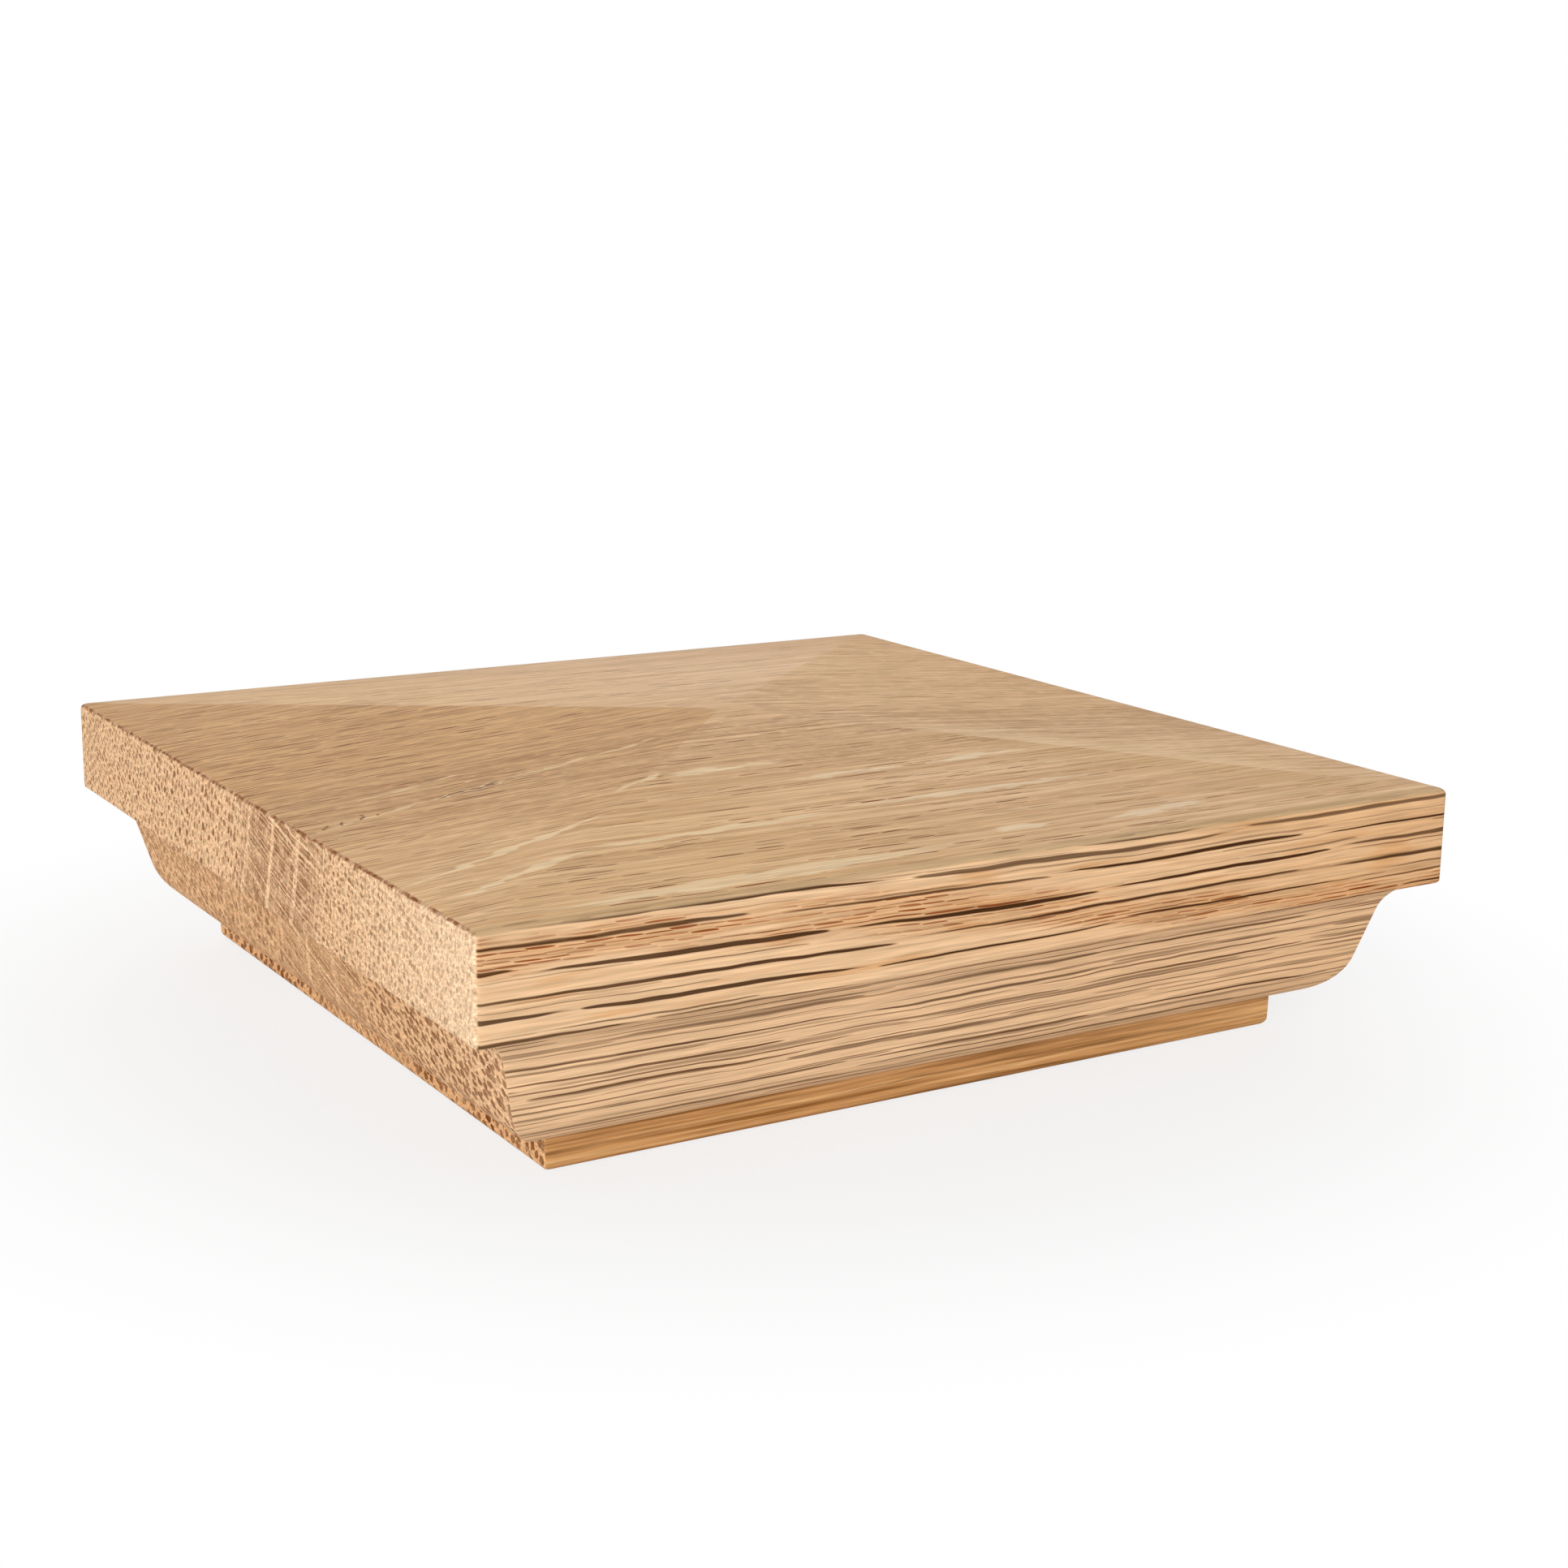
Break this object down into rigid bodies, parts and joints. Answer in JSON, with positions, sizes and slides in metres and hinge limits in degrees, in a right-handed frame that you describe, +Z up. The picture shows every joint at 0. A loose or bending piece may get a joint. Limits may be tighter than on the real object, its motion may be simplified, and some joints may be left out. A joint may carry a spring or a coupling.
{
  "type": "newel post cap",
  "caption": "Square oak cap for the top of a stair newel post: shallow pyramid top, plain fascia and a mitred ogee stepping in to a flat plinth the size of the post.",
  "frame": {"origin": "centre of the plinth's flat underside, which stands on the post", "axes": "+Z up to the apex of the pyramid; X along the wood's grain, so the end grain shows on the -X and +X sides; Y across the grain"},
  "size_m": [0.115, 0.115, 0.0325],
  "materials": {
    "oak": "bare sanded oak, open grain, no varnish"
  },
  "bodies": {
    "root": {"post_cap": "oak"}
  },
  "joints": []
}
